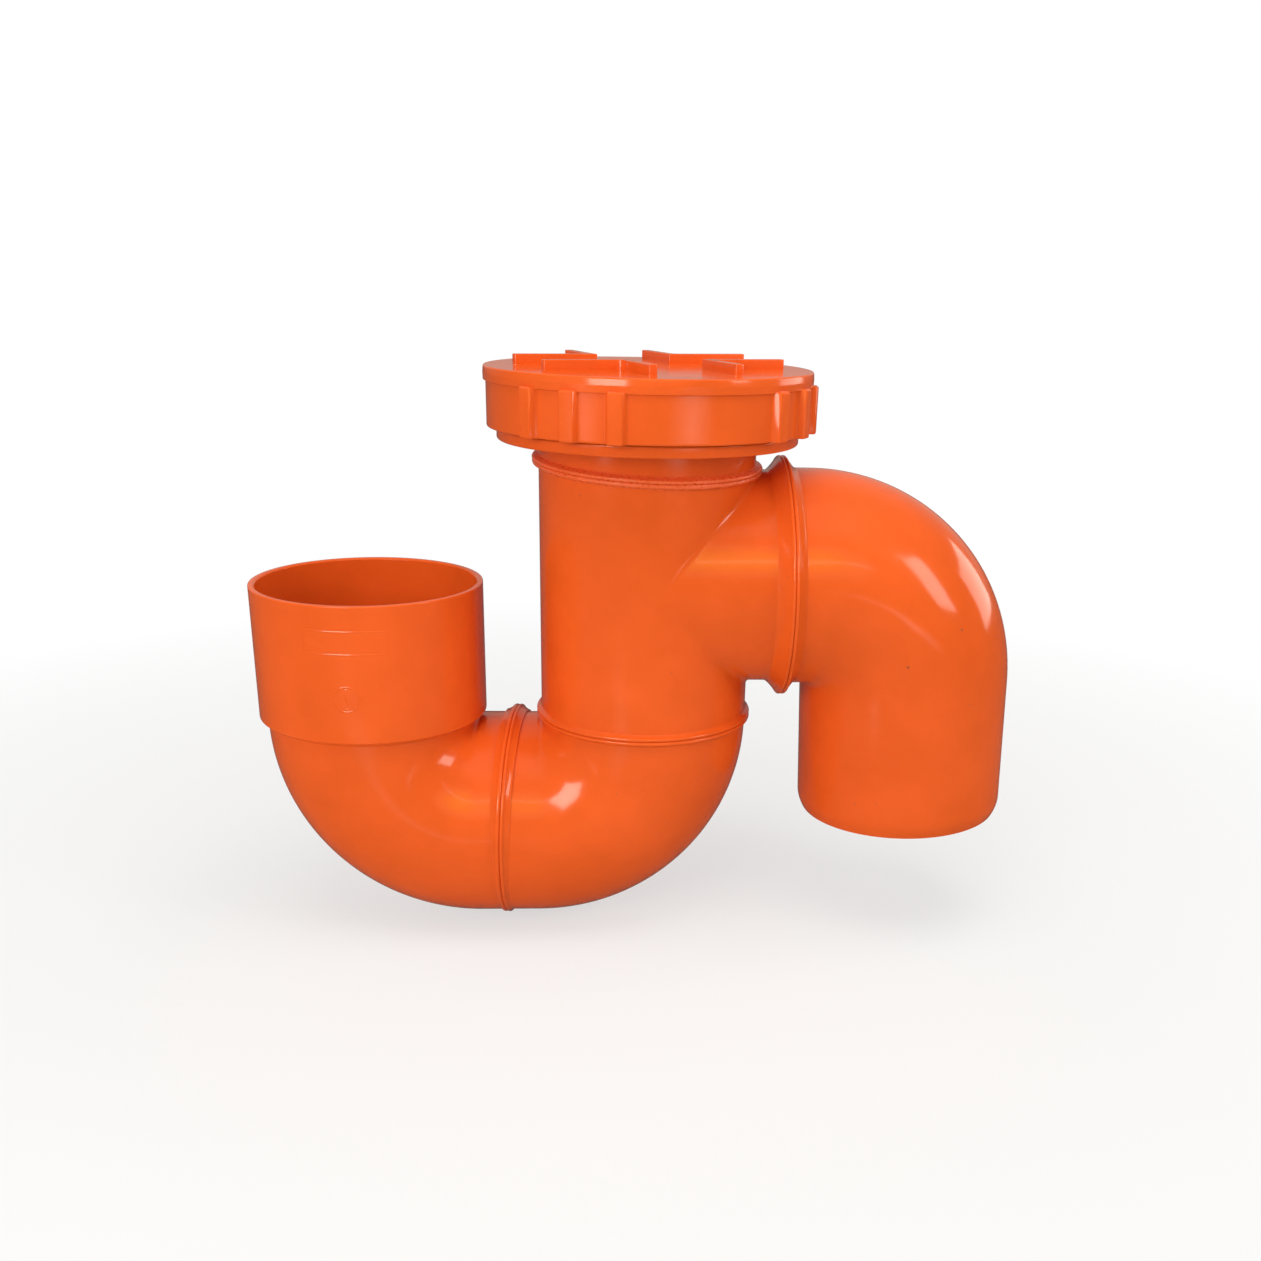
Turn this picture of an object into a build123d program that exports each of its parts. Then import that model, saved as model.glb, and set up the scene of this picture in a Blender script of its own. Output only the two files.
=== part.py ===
from build123d import *
import os

# A 110 mm drain trap of welded PVC mouldings. All sizes are in millimetres.
# The origin is the centre of the inlet socket's pipe stop. +Z points up out of the
# socket, and +X runs from the inlet to the outlet.

FULL_TURN = 360
QUARTER_TURN = 90
LUG_COUNT = 4

# Pipe and wall. The mouldings are a little slimmer than the spigot.
spigot_radius = 55.0
moulding_step = 0.8
wall = 3.2

# Inlet socket
socket_clearance = 0.2
socket_wall = 3.3
socket_depth = 67.8
socket_lead_in = 0.8
shoulder_drop = 0.8
shoulder_cone_height = 2.4
shoulder_foot_proud = 1.2

# Trap bends
trap_throat = 1.8
trap_straight = 15.0
trap_lead_spare = 0.2

# Upright body and side branch
branch_step = 0.4
branch_gap_below = 18.4
branch_gap_above = 1.4
branch_reach = 15.3
saddle_fillet = 3.0

# Outlet bend and spigot. The bend stops a little short of a quarter turn.
outlet_throat = 0.5
outlet_lead = 14.2
outlet_angle = 87.5
spigot_length = 73.0
spigot_nose_length = 8.0
spigot_nose_depth = 2.2

# Weld flanges: how far each stands proud, the width of its bead and of its flare
weld_groove = 0.5
body_weld_proud = 2.4
body_weld_bead = 2.1
body_weld_flare = 1.3
trap_weld_proud = 3.4
trap_weld_bead = 2.2
trap_weld_flare = 3.4
neck_weld_proud = 3.2
neck_weld_bead = 1.6
neck_weld_flare = 1.0
branch_weld_proud = 6.2
branch_weld_bead = 2.6
branch_weld_flare = 6.0
outlet_weld_proud = 5.0
outlet_weld_bead = 3.0
outlet_weld_flare = 2.2

# Access collar
neck_height = 12.6
neck_flare = 2.0
collar_step = 18.2
collar_flange_overhang = 2.1
collar_flange_thickness = 5.8
collar_edge_round = 1.2
collar_rim_wall = 4.4
collar_rim_height = 20.5

# Cap seal
seal_thickness = 3.0
seal_overhang = 0.2
seal_clearance = 0.3

# Access cap
thread_gap = 3.2
cap_skirt_wall = 3.6
cap_skirt_gap = 0.3
cap_band_proud = 1.2
cap_band_height = 6.8
cap_plate_thickness = 5.2
cap_edge_round = 2.2
guide_lip_wall = 2.6
guide_lip_height = 6.0

# Grip ribs round the skirt
rib_groups = 3
ribs_in_group = 3
rib_spacing = 15.6
rib_group_start = -120.5
rib_width = 9.0
rib_proud = 4.6
rib_round = 2.2

# Corner lugs on top of the cap, set round a crossed slot for a turning bar
lug_turn = 20.6
lug_slot_half_width = 19.4
lug_thickness = 4.2
lug_height = 4.7
lug_long_inset = 18.4
lug_short_inset = 24.9
lug_inner_round = 3.0

# Radii worked out from the sizes above
moulding_radius = spigot_radius - moulding_step
moulding_bore = moulding_radius - wall
spigot_bore = spigot_radius - wall
socket_bore_radius = spigot_radius + socket_clearance
socket_outer_radius = socket_bore_radius + socket_wall
shoulder_foot_radius = moulding_radius + shoulder_foot_proud
trap_bend_radius = moulding_radius + trap_throat
branch_radius = moulding_radius - branch_step
branch_bore = branch_radius - wall
outlet_bend_radius = spigot_radius + outlet_throat
collar_rim_radius = moulding_radius + collar_step
collar_bore_radius = collar_rim_radius - collar_rim_wall
collar_flange_radius = collar_rim_radius + collar_flange_overhang
seal_inner_radius = collar_bore_radius - seal_overhang
guide_lip_radius = seal_inner_radius - seal_clearance
cap_bore_radius = collar_rim_radius + thread_gap
cap_skirt_radius = cap_bore_radius + cap_skirt_wall
cap_plate_radius = cap_skirt_radius + cap_band_proud
lug_long_reach = cap_plate_radius - lug_long_inset
lug_short_reach = cap_plate_radius - lug_short_inset

# Places worked out from the sizes above
trap_lead = body_weld_bead + body_weld_flare + trap_lead_spare
trap_level = -trap_lead - trap_bend_radius
trap_seam_x = trap_bend_radius + trap_straight
body_x = 2 * trap_seam_x
branch_height = branch_gap_below + branch_radius
body_height = branch_height + branch_radius + branch_gap_above
branch_length = moulding_radius + branch_reach
branch_seam_x = body_x + branch_length
outlet_arc_centre = Vector(branch_seam_x + outlet_lead, 0, branch_height - outlet_bend_radius)
outlet_arm = Vector(0, 0, outlet_bend_radius).rotate(Axis.Y, outlet_angle)
outlet_heading = Vector(1, 0, 0).rotate(Axis.Y, outlet_angle)
collar_bottom_z = body_height + neck_height
collar_floor_z = collar_bottom_z + wall
collar_flange_top_z = collar_bottom_z + collar_flange_thickness
rim_top_z = collar_flange_top_z + collar_rim_height
cap_under_z = rim_top_z + seal_thickness
cap_top_z = cap_under_z + cap_plate_thickness
cap_band_bottom_z = cap_top_z - cap_band_height
cap_skirt_bottom_z = collar_flange_top_z + cap_skirt_gap
cap_skirt_height = cap_band_bottom_z - cap_skirt_bottom_z

# The planes that the tubes start from. A tube runs along its plane's normal.
socket_plane = Plane.XY
body_plane = Plane(origin=(body_x, 0, 0), x_dir=(1, 0, 0), z_dir=(0, 0, 1))
trap_seam_plane = Plane(origin=(trap_seam_x, 0, trap_level), x_dir=(0, 1, 0), z_dir=(1, 0, 0))
neck_plane = body_plane.offset(body_height)
branch_seam_plane = Plane(origin=(branch_seam_x, 0, branch_height), x_dir=(0, 1, 0), z_dir=(1, 0, 0))
branch_root_plane = Plane(origin=(body_x, 0, branch_height), x_dir=(0, 1, 0), z_dir=(1, 0, 0))
outlet_plane = Plane(origin=outlet_arc_centre + outlet_arm, x_dir=(0, 1, 0), z_dir=outlet_heading)
outlet_end_plane = outlet_plane.offset(spigot_length)

# The axes that the bends turn about, each by the right-hand rule
inlet_turn = Axis((trap_bend_radius, 0, -trap_lead), (0, -1, 0))
trap_turn = Axis((body_x - trap_bend_radius, 0, -trap_lead), (0, 1, 0))
outlet_turn = Axis(outlet_arc_centre, (0, 1, 0))


def straight_tube(start, radius, length, mode=Mode.ADD):
    """Adds or cuts a round bar that runs from a plane along its normal."""
    with BuildSketch(start) as section:
        Circle(radius)
    extrude(section.sketch, amount=length, mode=mode)


def bent_tube(start, radius, turn, mode=Mode.ADD, angle=QUARTER_TURN):
    """Adds or cuts a bend that leaves a plane and turns about an axis."""
    with BuildSketch(start) as section:
        Circle(radius)
    revolve(section.sketch, axis=turn, revolution_arc=angle, mode=mode)


def radial_plane(seam):
    """The plane along a tube, where x is the radius and y runs along the seam's normal."""
    return Plane(seam.origin, x_dir=seam.x_dir, z_dir=seam.x_dir.cross(seam.z_dir))


def weld_flange(seam, radius, proud, bead, flare, side):
    """Adds half of a weld ring: a rounded bead at the seam that flares back to the tube.

    side is 1 where the half lies along the seam plane's normal, and -1 behind it.
    """
    crest = radius + proud
    inside = radius - wall / 2
    with BuildSketch(radial_plane(seam)) as profile:
        with BuildLine():
            seam_top = (crest - weld_groove, 0)
            bead_mid = (crest, side * bead / 2)
            bead_back = (crest - weld_groove, side * bead)
            foot = (radius, side * (bead + flare))
            Line((inside, 0), seam_top)
            ThreePointArc(seam_top, bead_mid, bead_back)
            Line(bead_back, foot)
            Line(foot, (inside, side * (bead + flare)))
            Line((inside, side * (bead + flare)), (inside, 0))
        make_face()
    revolve(profile.sketch, axis=Axis(seam.origin, seam.z_dir))


def ring_section(centre, points):
    """Turns a closed outline of (radius, height) points about the upright axis at a centre."""
    with BuildSketch(Plane(centre, x_dir=(1, 0, 0), z_dir=(0, -1, 0))) as profile:
        with BuildLine():
            Polyline(*points, close=True)
        make_face()
    revolve(profile.sketch, axis=Axis(centre, (0, 0, 1)))


# Inlet bend: the pipe socket, its stepped shoulder and the first quarter of the trap
with BuildPart() as inlet_bend:
    shoulder_foot_z = -shoulder_drop - shoulder_cone_height
    ring_section(
        (0, 0, 0),
        [
            (0, shoulder_foot_z),
            (shoulder_foot_radius, shoulder_foot_z),
            (socket_outer_radius, -shoulder_drop),
            (socket_outer_radius, socket_depth),
            (0, socket_depth),
        ],
    )
    straight_tube(socket_plane, moulding_radius, -trap_lead)
    bent_tube(socket_plane.offset(-trap_lead), moulding_radius, inlet_turn)
    straight_tube(trap_seam_plane, moulding_radius, -trap_straight)
    weld_flange(trap_seam_plane, moulding_radius, trap_weld_proud, trap_weld_bead, trap_weld_flare, -1)
    straight_tube(socket_plane, socket_bore_radius, socket_depth, Mode.SUBTRACT)
    straight_tube(socket_plane, moulding_bore, -trap_lead, Mode.SUBTRACT)
    bent_tube(socket_plane.offset(-trap_lead), moulding_bore, inlet_turn, Mode.SUBTRACT)
    straight_tube(trap_seam_plane, moulding_bore, -trap_straight, Mode.SUBTRACT)
    mouth_face = inlet_bend.faces().sort_by(Axis.Z)[-1]
    chamfer(mouth_face.inner_wires()[0].edges(), length=socket_lead_in)
inlet_bend.part.label = "inlet_bend"

# Trap bend: the second quarter of the trap, up to the body
with BuildPart() as trap_bend:
    straight_tube(trap_seam_plane, moulding_radius, trap_straight)
    bent_tube(body_plane.offset(-trap_lead), moulding_radius, trap_turn)
    straight_tube(body_plane, moulding_radius, -trap_lead)
    weld_flange(trap_seam_plane, moulding_radius, trap_weld_proud, trap_weld_bead, trap_weld_flare, 1)
    weld_flange(body_plane, moulding_radius, body_weld_proud, body_weld_bead, body_weld_flare, -1)
    straight_tube(trap_seam_plane, moulding_bore, trap_straight, Mode.SUBTRACT)
    bent_tube(body_plane.offset(-trap_lead), moulding_bore, trap_turn, Mode.SUBTRACT)
    straight_tube(body_plane, moulding_bore, -trap_lead, Mode.SUBTRACT)
trap_bend.part.label = "trap_bend"

# Body tee: the upright pipe with the side branch, which meets it in a saddle
with BuildPart() as body_tee:
    straight_tube(body_plane, moulding_radius, body_height)
    straight_tube(branch_root_plane, branch_radius, branch_length)
    fillet(body_tee.edges().filter_by(GeomType.BSPLINE), radius=saddle_fillet)
    weld_flange(body_plane, moulding_radius, body_weld_proud, body_weld_bead, body_weld_flare, 1)
    weld_flange(neck_plane, moulding_radius, neck_weld_proud, neck_weld_bead, neck_weld_flare, -1)
    weld_flange(branch_seam_plane, branch_radius, branch_weld_proud, branch_weld_bead, branch_weld_flare, -1)
    straight_tube(body_plane, moulding_bore, body_height, Mode.SUBTRACT)
    straight_tube(branch_root_plane, branch_bore, branch_length, Mode.SUBTRACT)
body_tee.part.label = "body_tee"

# Outlet bend: the turn down to the spigot, whose nose is rounded for the next socket
with BuildPart() as outlet_bend:
    straight_tube(branch_seam_plane, spigot_radius, outlet_lead)
    bent_tube(branch_seam_plane.offset(outlet_lead), spigot_radius, outlet_turn, angle=outlet_angle)
    straight_tube(outlet_plane, spigot_radius, spigot_length - spigot_nose_length)
    with BuildSketch(radial_plane(outlet_end_plane)) as nose:
        with BuildLine():
            nose_start = (spigot_radius, -spigot_nose_length)
            nose_end = (spigot_radius - spigot_nose_depth, 0)
            TangentArc(nose_start, nose_end, tangent=(0, 1))
            Polyline(nose_end, (0, 0), (0, -spigot_nose_length), nose_start)
        make_face()
    revolve(nose.sketch, axis=Axis(outlet_end_plane.origin, outlet_heading))
    weld_flange(branch_seam_plane, spigot_radius, outlet_weld_proud, outlet_weld_bead, outlet_weld_flare, 1)
    straight_tube(branch_seam_plane, spigot_bore, outlet_lead, Mode.SUBTRACT)
    bent_tube(branch_seam_plane.offset(outlet_lead), spigot_bore, outlet_turn, Mode.SUBTRACT, outlet_angle)
    straight_tube(outlet_plane, spigot_bore, spigot_length, Mode.SUBTRACT)
outlet_bend.part.label = "outlet_bend"

# Access collar: the neck above the body, its wide flange and the rim that the cap screws on
with BuildPart() as access_collar:
    ring_section(
        (body_x, 0, 0),
        [
            (moulding_bore, body_height),
            (moulding_radius, body_height),
            (moulding_radius, collar_bottom_z - neck_flare),
            (moulding_radius + neck_flare, collar_bottom_z),
            (collar_flange_radius - collar_edge_round, collar_bottom_z),
            (collar_flange_radius, collar_bottom_z + collar_edge_round),
            (collar_flange_radius, collar_flange_top_z),
            (collar_rim_radius, collar_flange_top_z),
            (collar_rim_radius, rim_top_z),
            (collar_bore_radius, rim_top_z),
            (collar_bore_radius, collar_floor_z),
            (moulding_bore, collar_floor_z),
        ],
    )
    weld_flange(neck_plane, moulding_radius, neck_weld_proud, neck_weld_bead, neck_weld_flare, 1)
access_collar.part.label = "access_collar"

# Cap seal: a flat rubber ring between the collar's rim and the cap
with BuildPart() as cap_seal:
    with BuildSketch(body_plane.offset(rim_top_z)):
        Circle(collar_rim_radius)
        Circle(seal_inner_radius, mode=Mode.SUBTRACT)
    extrude(amount=seal_thickness)
cap_seal.part.label = "cap_seal"

# Access cap: plate, skirt, grip ribs and corner lugs in one moulding
with BuildPart() as access_cap:
    with BuildSketch(body_plane.offset(cap_top_z)):
        Circle(cap_plate_radius)
    extrude(amount=-cap_band_height)
    plate_rim = access_cap.edges().group_by(Axis.Z)[-1]
    fillet(plate_rim, radius=cap_edge_round)
    with BuildSketch(body_plane.offset(cap_skirt_bottom_z)):
        Circle(cap_skirt_radius)
    extrude(amount=cap_skirt_height)
    for group in range(rib_groups):
        group_angle = rib_group_start + group * FULL_TURN / rib_groups
        first_angle = group_angle - rib_spacing * (ribs_in_group - 1) / 2
        with BuildSketch(body_plane.offset(cap_skirt_bottom_z)):
            with PolarLocations(
                cap_skirt_radius, ribs_in_group, start_angle=first_angle,
                angular_range=rib_spacing * (ribs_in_group - 1), endpoint=True,
            ):
                RectangleRounded(2 * rib_proud, rib_width, rib_round)
        extrude(amount=cap_skirt_height)
    with BuildSketch(body_plane.offset(cap_skirt_bottom_z)):
        Circle(cap_bore_radius)
    extrude(amount=cap_under_z - cap_skirt_bottom_z, mode=Mode.SUBTRACT)
    with BuildSketch(body_plane.offset(cap_under_z)):
        Circle(guide_lip_radius)
        Circle(guide_lip_radius - guide_lip_wall, mode=Mode.SUBTRACT)
    extrude(amount=-guide_lip_height)
    for quarter in range(LUG_COUNT):
        reaches = [lug_long_reach, lug_short_reach]
        along, across = reaches if quarter % 2 == 0 else reversed(reaches)
        back = lug_slot_half_width + lug_thickness
        with BuildSketch(body_plane.offset(cap_top_z).rotated((0, 0, lug_turn + QUARTER_TURN * quarter))):
            with BuildLine():
                Polyline(
                    (lug_slot_half_width, lug_slot_half_width),
                    (along, lug_slot_half_width),
                    (along, back),
                    (back, back),
                    (back, across),
                    (lug_slot_half_width, across),
                    close=True,
                )
            corner = make_face().vertices().sort_by_distance((back, back, 0))[0]
            fillet(corner, radius=lug_inner_round)
        extrude(amount=lug_height)
access_cap.part.label = "access_cap"

os.makedirs("parts", exist_ok=True)
for piece in (inlet_bend, trap_bend, body_tee, outlet_bend, access_collar, cap_seal, access_cap):
    export_step(piece.part, "parts/" + piece.part.label + ".step")
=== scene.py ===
import math

import bmesh
import bpy
from mathutils import Matrix, Vector


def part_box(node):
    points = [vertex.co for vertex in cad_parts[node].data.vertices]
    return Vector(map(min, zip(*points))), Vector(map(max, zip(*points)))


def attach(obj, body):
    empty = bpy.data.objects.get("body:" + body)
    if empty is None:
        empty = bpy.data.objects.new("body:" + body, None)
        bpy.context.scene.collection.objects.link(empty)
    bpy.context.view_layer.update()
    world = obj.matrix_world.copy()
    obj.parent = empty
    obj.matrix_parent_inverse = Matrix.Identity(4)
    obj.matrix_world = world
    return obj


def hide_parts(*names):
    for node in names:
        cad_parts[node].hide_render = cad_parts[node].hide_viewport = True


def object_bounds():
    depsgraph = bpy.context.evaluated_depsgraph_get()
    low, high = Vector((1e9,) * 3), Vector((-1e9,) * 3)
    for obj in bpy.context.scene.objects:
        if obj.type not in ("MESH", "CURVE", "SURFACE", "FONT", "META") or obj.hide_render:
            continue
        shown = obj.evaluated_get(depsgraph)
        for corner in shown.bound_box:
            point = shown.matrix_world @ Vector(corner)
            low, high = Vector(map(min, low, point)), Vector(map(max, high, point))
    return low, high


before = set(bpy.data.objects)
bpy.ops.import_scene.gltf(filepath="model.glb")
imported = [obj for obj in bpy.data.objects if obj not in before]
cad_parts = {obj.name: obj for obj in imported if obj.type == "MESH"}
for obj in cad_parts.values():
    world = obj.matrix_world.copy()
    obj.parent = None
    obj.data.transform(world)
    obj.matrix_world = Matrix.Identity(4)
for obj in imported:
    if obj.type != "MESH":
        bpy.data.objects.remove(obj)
CAD_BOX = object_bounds()

bl_info = {
    "name": "Welded Drain Trap",
    "version": (1, 0, 0),
    "blender": (4, 5, 0),
    "location": "3D View > Sidebar > Drain Trap",
    "description": "Dresses the solids of a welded PVC drain trap with a screw-capped access",
    "category": "Object",
}

SOCKET_LOW, SOCKET_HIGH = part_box("inlet_bend")
TEE_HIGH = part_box("body_tee")[1]
OUTLET_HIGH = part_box("outlet_bend")[1]
COLLAR_LOW, COLLAR_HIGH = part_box("access_collar")
SEAL_LOW, SEAL_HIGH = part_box("cap_seal")
BODY_X = (COLLAR_LOW.x + COLLAR_HIGH.x) / 2
BODY_FOOT = Vector((BODY_X, 0, 0))

FULL_TURN = 2 * math.pi
PHOTO_PIXELS = 1261  # width and height of the photograph
SHARP_ANGLE = math.radians(34)  # edges that fold by more stay sharp
CLOSE = 2e-6  # vertices nearer than this are one
FLAT_EDGE = 4e-4  # from the end of a round to its support point
STOP_LAP = 5e-4  # how far the pipe stop's wall runs down beside the first pipe
SEAL_CLEARANCE = 5e-5  # between the seal's upper face and the cap
SEAL_OVERHANG = 2e-4  # how far the seal reaches in past the rim
LAP = 4e-4  # how far the guide lip and the threads run into their walls
THREAD_RISE = 2.8e-3  # from the flange to the middle of the thread's start
LUG_SINK = 6e-4  # how far a lug runs into the plate

# Rounds on edges
HAIR_ROUND = 3e-4
FINE_ROUND = 4e-4
RIM_ROUND = 6e-4
STEP_ROUND = 8e-4
FLANGE_ROUND = 1.2e-3


# Sizes and colours that a user would change


def length(name, description, default):
    """A length in metres, as a named property."""
    return bpy.props.FloatProperty(
        name=name, description=description, default=default, unit="LENGTH", precision=5
    )


def turn(name, description, default):
    """An angle, as a named property. The default is given in degrees."""
    return bpy.props.FloatProperty(
        name=name, description=description, default=math.radians(default), subtype="ANGLE"
    )


def colour(name, description, default):
    """A linear colour, as a named property."""
    return bpy.props.FloatVectorProperty(
        name=name, description=description, default=default, subtype="COLOR", size=3, min=0, max=1
    )


def count(name, description, default):
    """A whole number, as a named property."""
    return bpy.props.IntProperty(name=name, description=description, default=default, min=1)


class TRAP_PG_pipes(bpy.types.PropertyGroup):
    """Sizes of the pipe mouldings"""

    wall: length("Wall", "Thickness of every pipe wall", 0.0032)
    moulding_radius: length("Moulding Radius", "Outer radius of the trap and of the body", 0.0542)
    branch_radius: length("Branch Radius", "Outer radius of the side branch", 0.0538)
    spigot_radius: length("Spigot Radius", "Outer radius of the outlet bend", 0.05498)
    trap_bend_radius: length("Trap Bend Radius", "Centre-line radius of both trap bends", 0.0555)
    trap_straight: length("Trap Straight", "Straight run on each side of the trap's seam", 0.0155)
    trap_lead: length("Trap Lead", "Straight run above each trap bend", 0.0036)
    outlet_bend_radius: length("Outlet Bend Radius", "Centre-line radius of the outlet bend", 0.0555)
    outlet_lead: length("Outlet Lead", "Straight run before the outlet bend", 0.0142)
    seam_shift: length("Seam Shift", "How far the trap's weld ring sits past its seam", 0.0016)
    seam_lift: length("Seam Lift", "How far the trap's weld ring sits above the pipe's axis", 0.0015)
    seam_lean: turn("Seam Lean", "How far the top of the trap's weld ring leans outwards", 1.2)
    seam_swing: turn("Seam Swing", "How far the trap's weld ring swings about the upright", 5.5)
    branch_lean: turn("Branch Lean", "How far the top of the branch's weld ring leans back", 1.3)
    outlet_angle: turn("Outlet Angle", "How far the outlet bend turns", 87.5)
    spigot_length: length("Spigot Length", "Straight run from the outlet bend to the end", 0.073)
    nose_length: length("Nose Length", "Length of the rounded nose of the spigot", 0.008)
    nose_depth: length("Nose Depth", "How far the nose draws in", 0.0022)
    body_height: length("Body Height", "Height of the upright body between its seams", 0.1274)
    branch_height: length("Branch Height", "Height of the branch's axis", 0.0722)
    saddle_round: length("Saddle Round", "Reach of the soft round along the saddle", 0.0026)
    neck_rise: length("Neck Rise", "How far the neck's weld ring sits above its seam", 0.0015)
    neck_lean: turn("Neck Lean", "How far the neck's weld ring drops towards the outlet", 1.7)
    neck_nod: turn("Neck Nod", "How far the neck's weld ring drops at the front", 2.4)
    around: count("Faces Around", "Faces round each pipe", 160)


class TRAP_PG_socket(bpy.types.PropertyGroup):
    """Sizes of the inlet socket"""

    bore_radius: length("Bore Radius", "Radius of the socket's bore", 0.0552)
    lead_in: length("Lead-in", "Chamfer at the socket's mouth", 0.0008)
    rim_round: length("Rim Round", "Round on the rim's outer edge", 0.0006)
    shoulder_drop: length("Shoulder Drop", "How far the socket runs down past the pipe stop", 0.0004)
    shoulder_cone: length("Shoulder Cone", "Height of the cone below the shoulder", 0.0022)
    shoulder_round: length("Shoulder Round", "Soft round at the top of the cone", 0.0006)
    foot_radius: length("Foot Radius", "Radius of the cone's foot", 0.0554)


class TRAP_PG_cap(bpy.types.PropertyGroup):
    """Sizes of the collar and of the screw cap"""

    neck_height: length("Neck Height", "Height of the neck under the flange", 0.0126)
    neck_round: length("Neck Round", "Round between the neck and the flange", 0.002)
    flange_thickness: length("Flange Thickness", "Thickness of the collar's flange", 0.0058)
    flange_radius: length("Flange Radius", "Radius of the collar's flange", 0.0745)
    rim_radius: length("Rim Radius", "Radius of the threaded rim at the thread's root", 0.0724)
    rim_wall: length("Rim Wall", "Thickness of the threaded rim", 0.0044)
    plate_radius: length("Plate Radius", "Radius of the cap's plate", 0.0804)
    plate_thickness: length("Plate Thickness", "Thickness of the cap's plate", 0.0052)
    plate_round: length("Plate Round", "Round on the plate's upper edge", 0.0009)
    band_height: length("Band Height", "Height of the band round the plate", 0.0068)
    band_swell: length("Band Swell", "How far the band swells at mid height", 0.00015)
    skirt_radius: length("Skirt Radius", "Outer radius of the skirt", 0.0792)
    skirt_wall: length("Skirt Wall", "Thickness of the skirt", 0.0036)
    skirt_gap: length("Skirt Gap", "Gap between the skirt and the flange", 0.0003)
    guide_radius: length("Guide Radius", "Outer radius of the guide lip under the plate", 0.0675)
    guide_wall: length("Guide Wall", "Thickness of the guide lip", 0.0026)
    guide_height: length("Guide Height", "Height of the guide lip", 0.006)
    rib_groups: count("Rib Groups", "Groups of grip ribs", 3)
    ribs_in_group: count("Ribs in Group", "Grip ribs in each group", 3)
    rib_pitch: turn("Rib Pitch", "Angle between two groups", 91)
    rib_spacing: turn("Rib Spacing", "Angle between two ribs", 16.1)
    rib_start: turn("Rib Start", "Angle of the first group's middle", -118.8)
    rib_width: length("Rib Width", "Width of a rib at its foot", 0.0102)
    rib_crest: length("Rib Crest", "Width of a rib's crest", 0.0056)
    rib_proud: length("Rib Proud", "How far a rib stands out", 0.0037)
    lug_turn: turn("Lug Turn", "Angle of the lugs on the plate", 20.6)
    lug_slot: length("Lug Slot", "Half width of the crossed slot between the lugs", 0.0194)
    lug_thickness: length("Lug Thickness", "Thickness of a lug's walls", 0.0042)
    lug_height: length("Lug Height", "Height of a lug", 0.0047)
    lug_long: length("Lug Long Reach", "Reach of a lug's longer leg", 0.062)
    lug_short: length("Lug Short Reach", "Reach of a lug's shorter leg", 0.0555)


class TRAP_PG_thread(bpy.types.PropertyGroup):
    """Sizes of the screw thread under the cap"""

    pitch: length("Pitch", "Rise of the thread in one turn", 0.006)
    depth: length("Depth", "Height of each thread over its root", 0.0017)
    base: length("Base", "Width of a thread at its root", 0.0026)
    crest: length("Crest", "Width of a thread at its crest", 0.001)
    turns: bpy.props.FloatProperty(
        name="Turns", description="Turns of thread on the rim and in the skirt", default=2.4
    )


class TRAP_PG_finish(bpy.types.PropertyGroup):
    """Colours and light"""

    orange: colour("Orange", "Colour of the mouldings", (0.79, 0.110, 0.0135))
    rubber: colour("Rubber", "Colour of the seal", (0.02, 0.02, 0.022))
    floor: colour("Floor", "Colour of the studio floor", (0.70, 0.74, 0.79))
    key: bpy.props.FloatProperty(
        name="Key", description="Power of the key softbox in watts", default=4.3, subtype="POWER"
    )


# Node trees


def math_node(operation, reflected=False):
    """A method of Value that runs a Math node, with the number itself last if reflected."""

    def run(self, *others):
        numbers = (*others, self) if reflected else (self, *others)
        return self.plan.value("ShaderNodeMath", 0, {"operation": operation}, numbers)

    return run


class Value:
    """One number on its way through a node tree, which takes part in Python arithmetic."""

    def __init__(self, plan, socket):
        self.plan = plan
        self.socket = socket

    def __neg__(self):
        return self * -1.0

    def share(self):
        """This number held between 0 and 1."""
        settings = {"operation": "ADD", "use_clamp": True}
        return self.plan.value("ShaderNodeMath", 0, settings, (self, 0.0))

    __add__, __radd__ = math_node("ADD"), math_node("ADD", True)
    __sub__, __rsub__ = math_node("SUBTRACT"), math_node("SUBTRACT", True)
    __mul__, __rmul__ = math_node("MULTIPLY"), math_node("MULTIPLY", True)
    __truediv__, __rtruediv__ = math_node("DIVIDE"), math_node("DIVIDE", True)
    __gt__, __lt__ = math_node("GREATER_THAN"), math_node("LESS_THAN")
    __pow__, angle = math_node("POWER"), math_node("ARCTAN2")
    least, most = math_node("MINIMUM"), math_node("MAXIMUM")
    whole, size = math_node("ROUND"), math_node("ABSOLUTE")
    sine, cosine = math_node("SINE"), math_node("COSINE")


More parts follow.
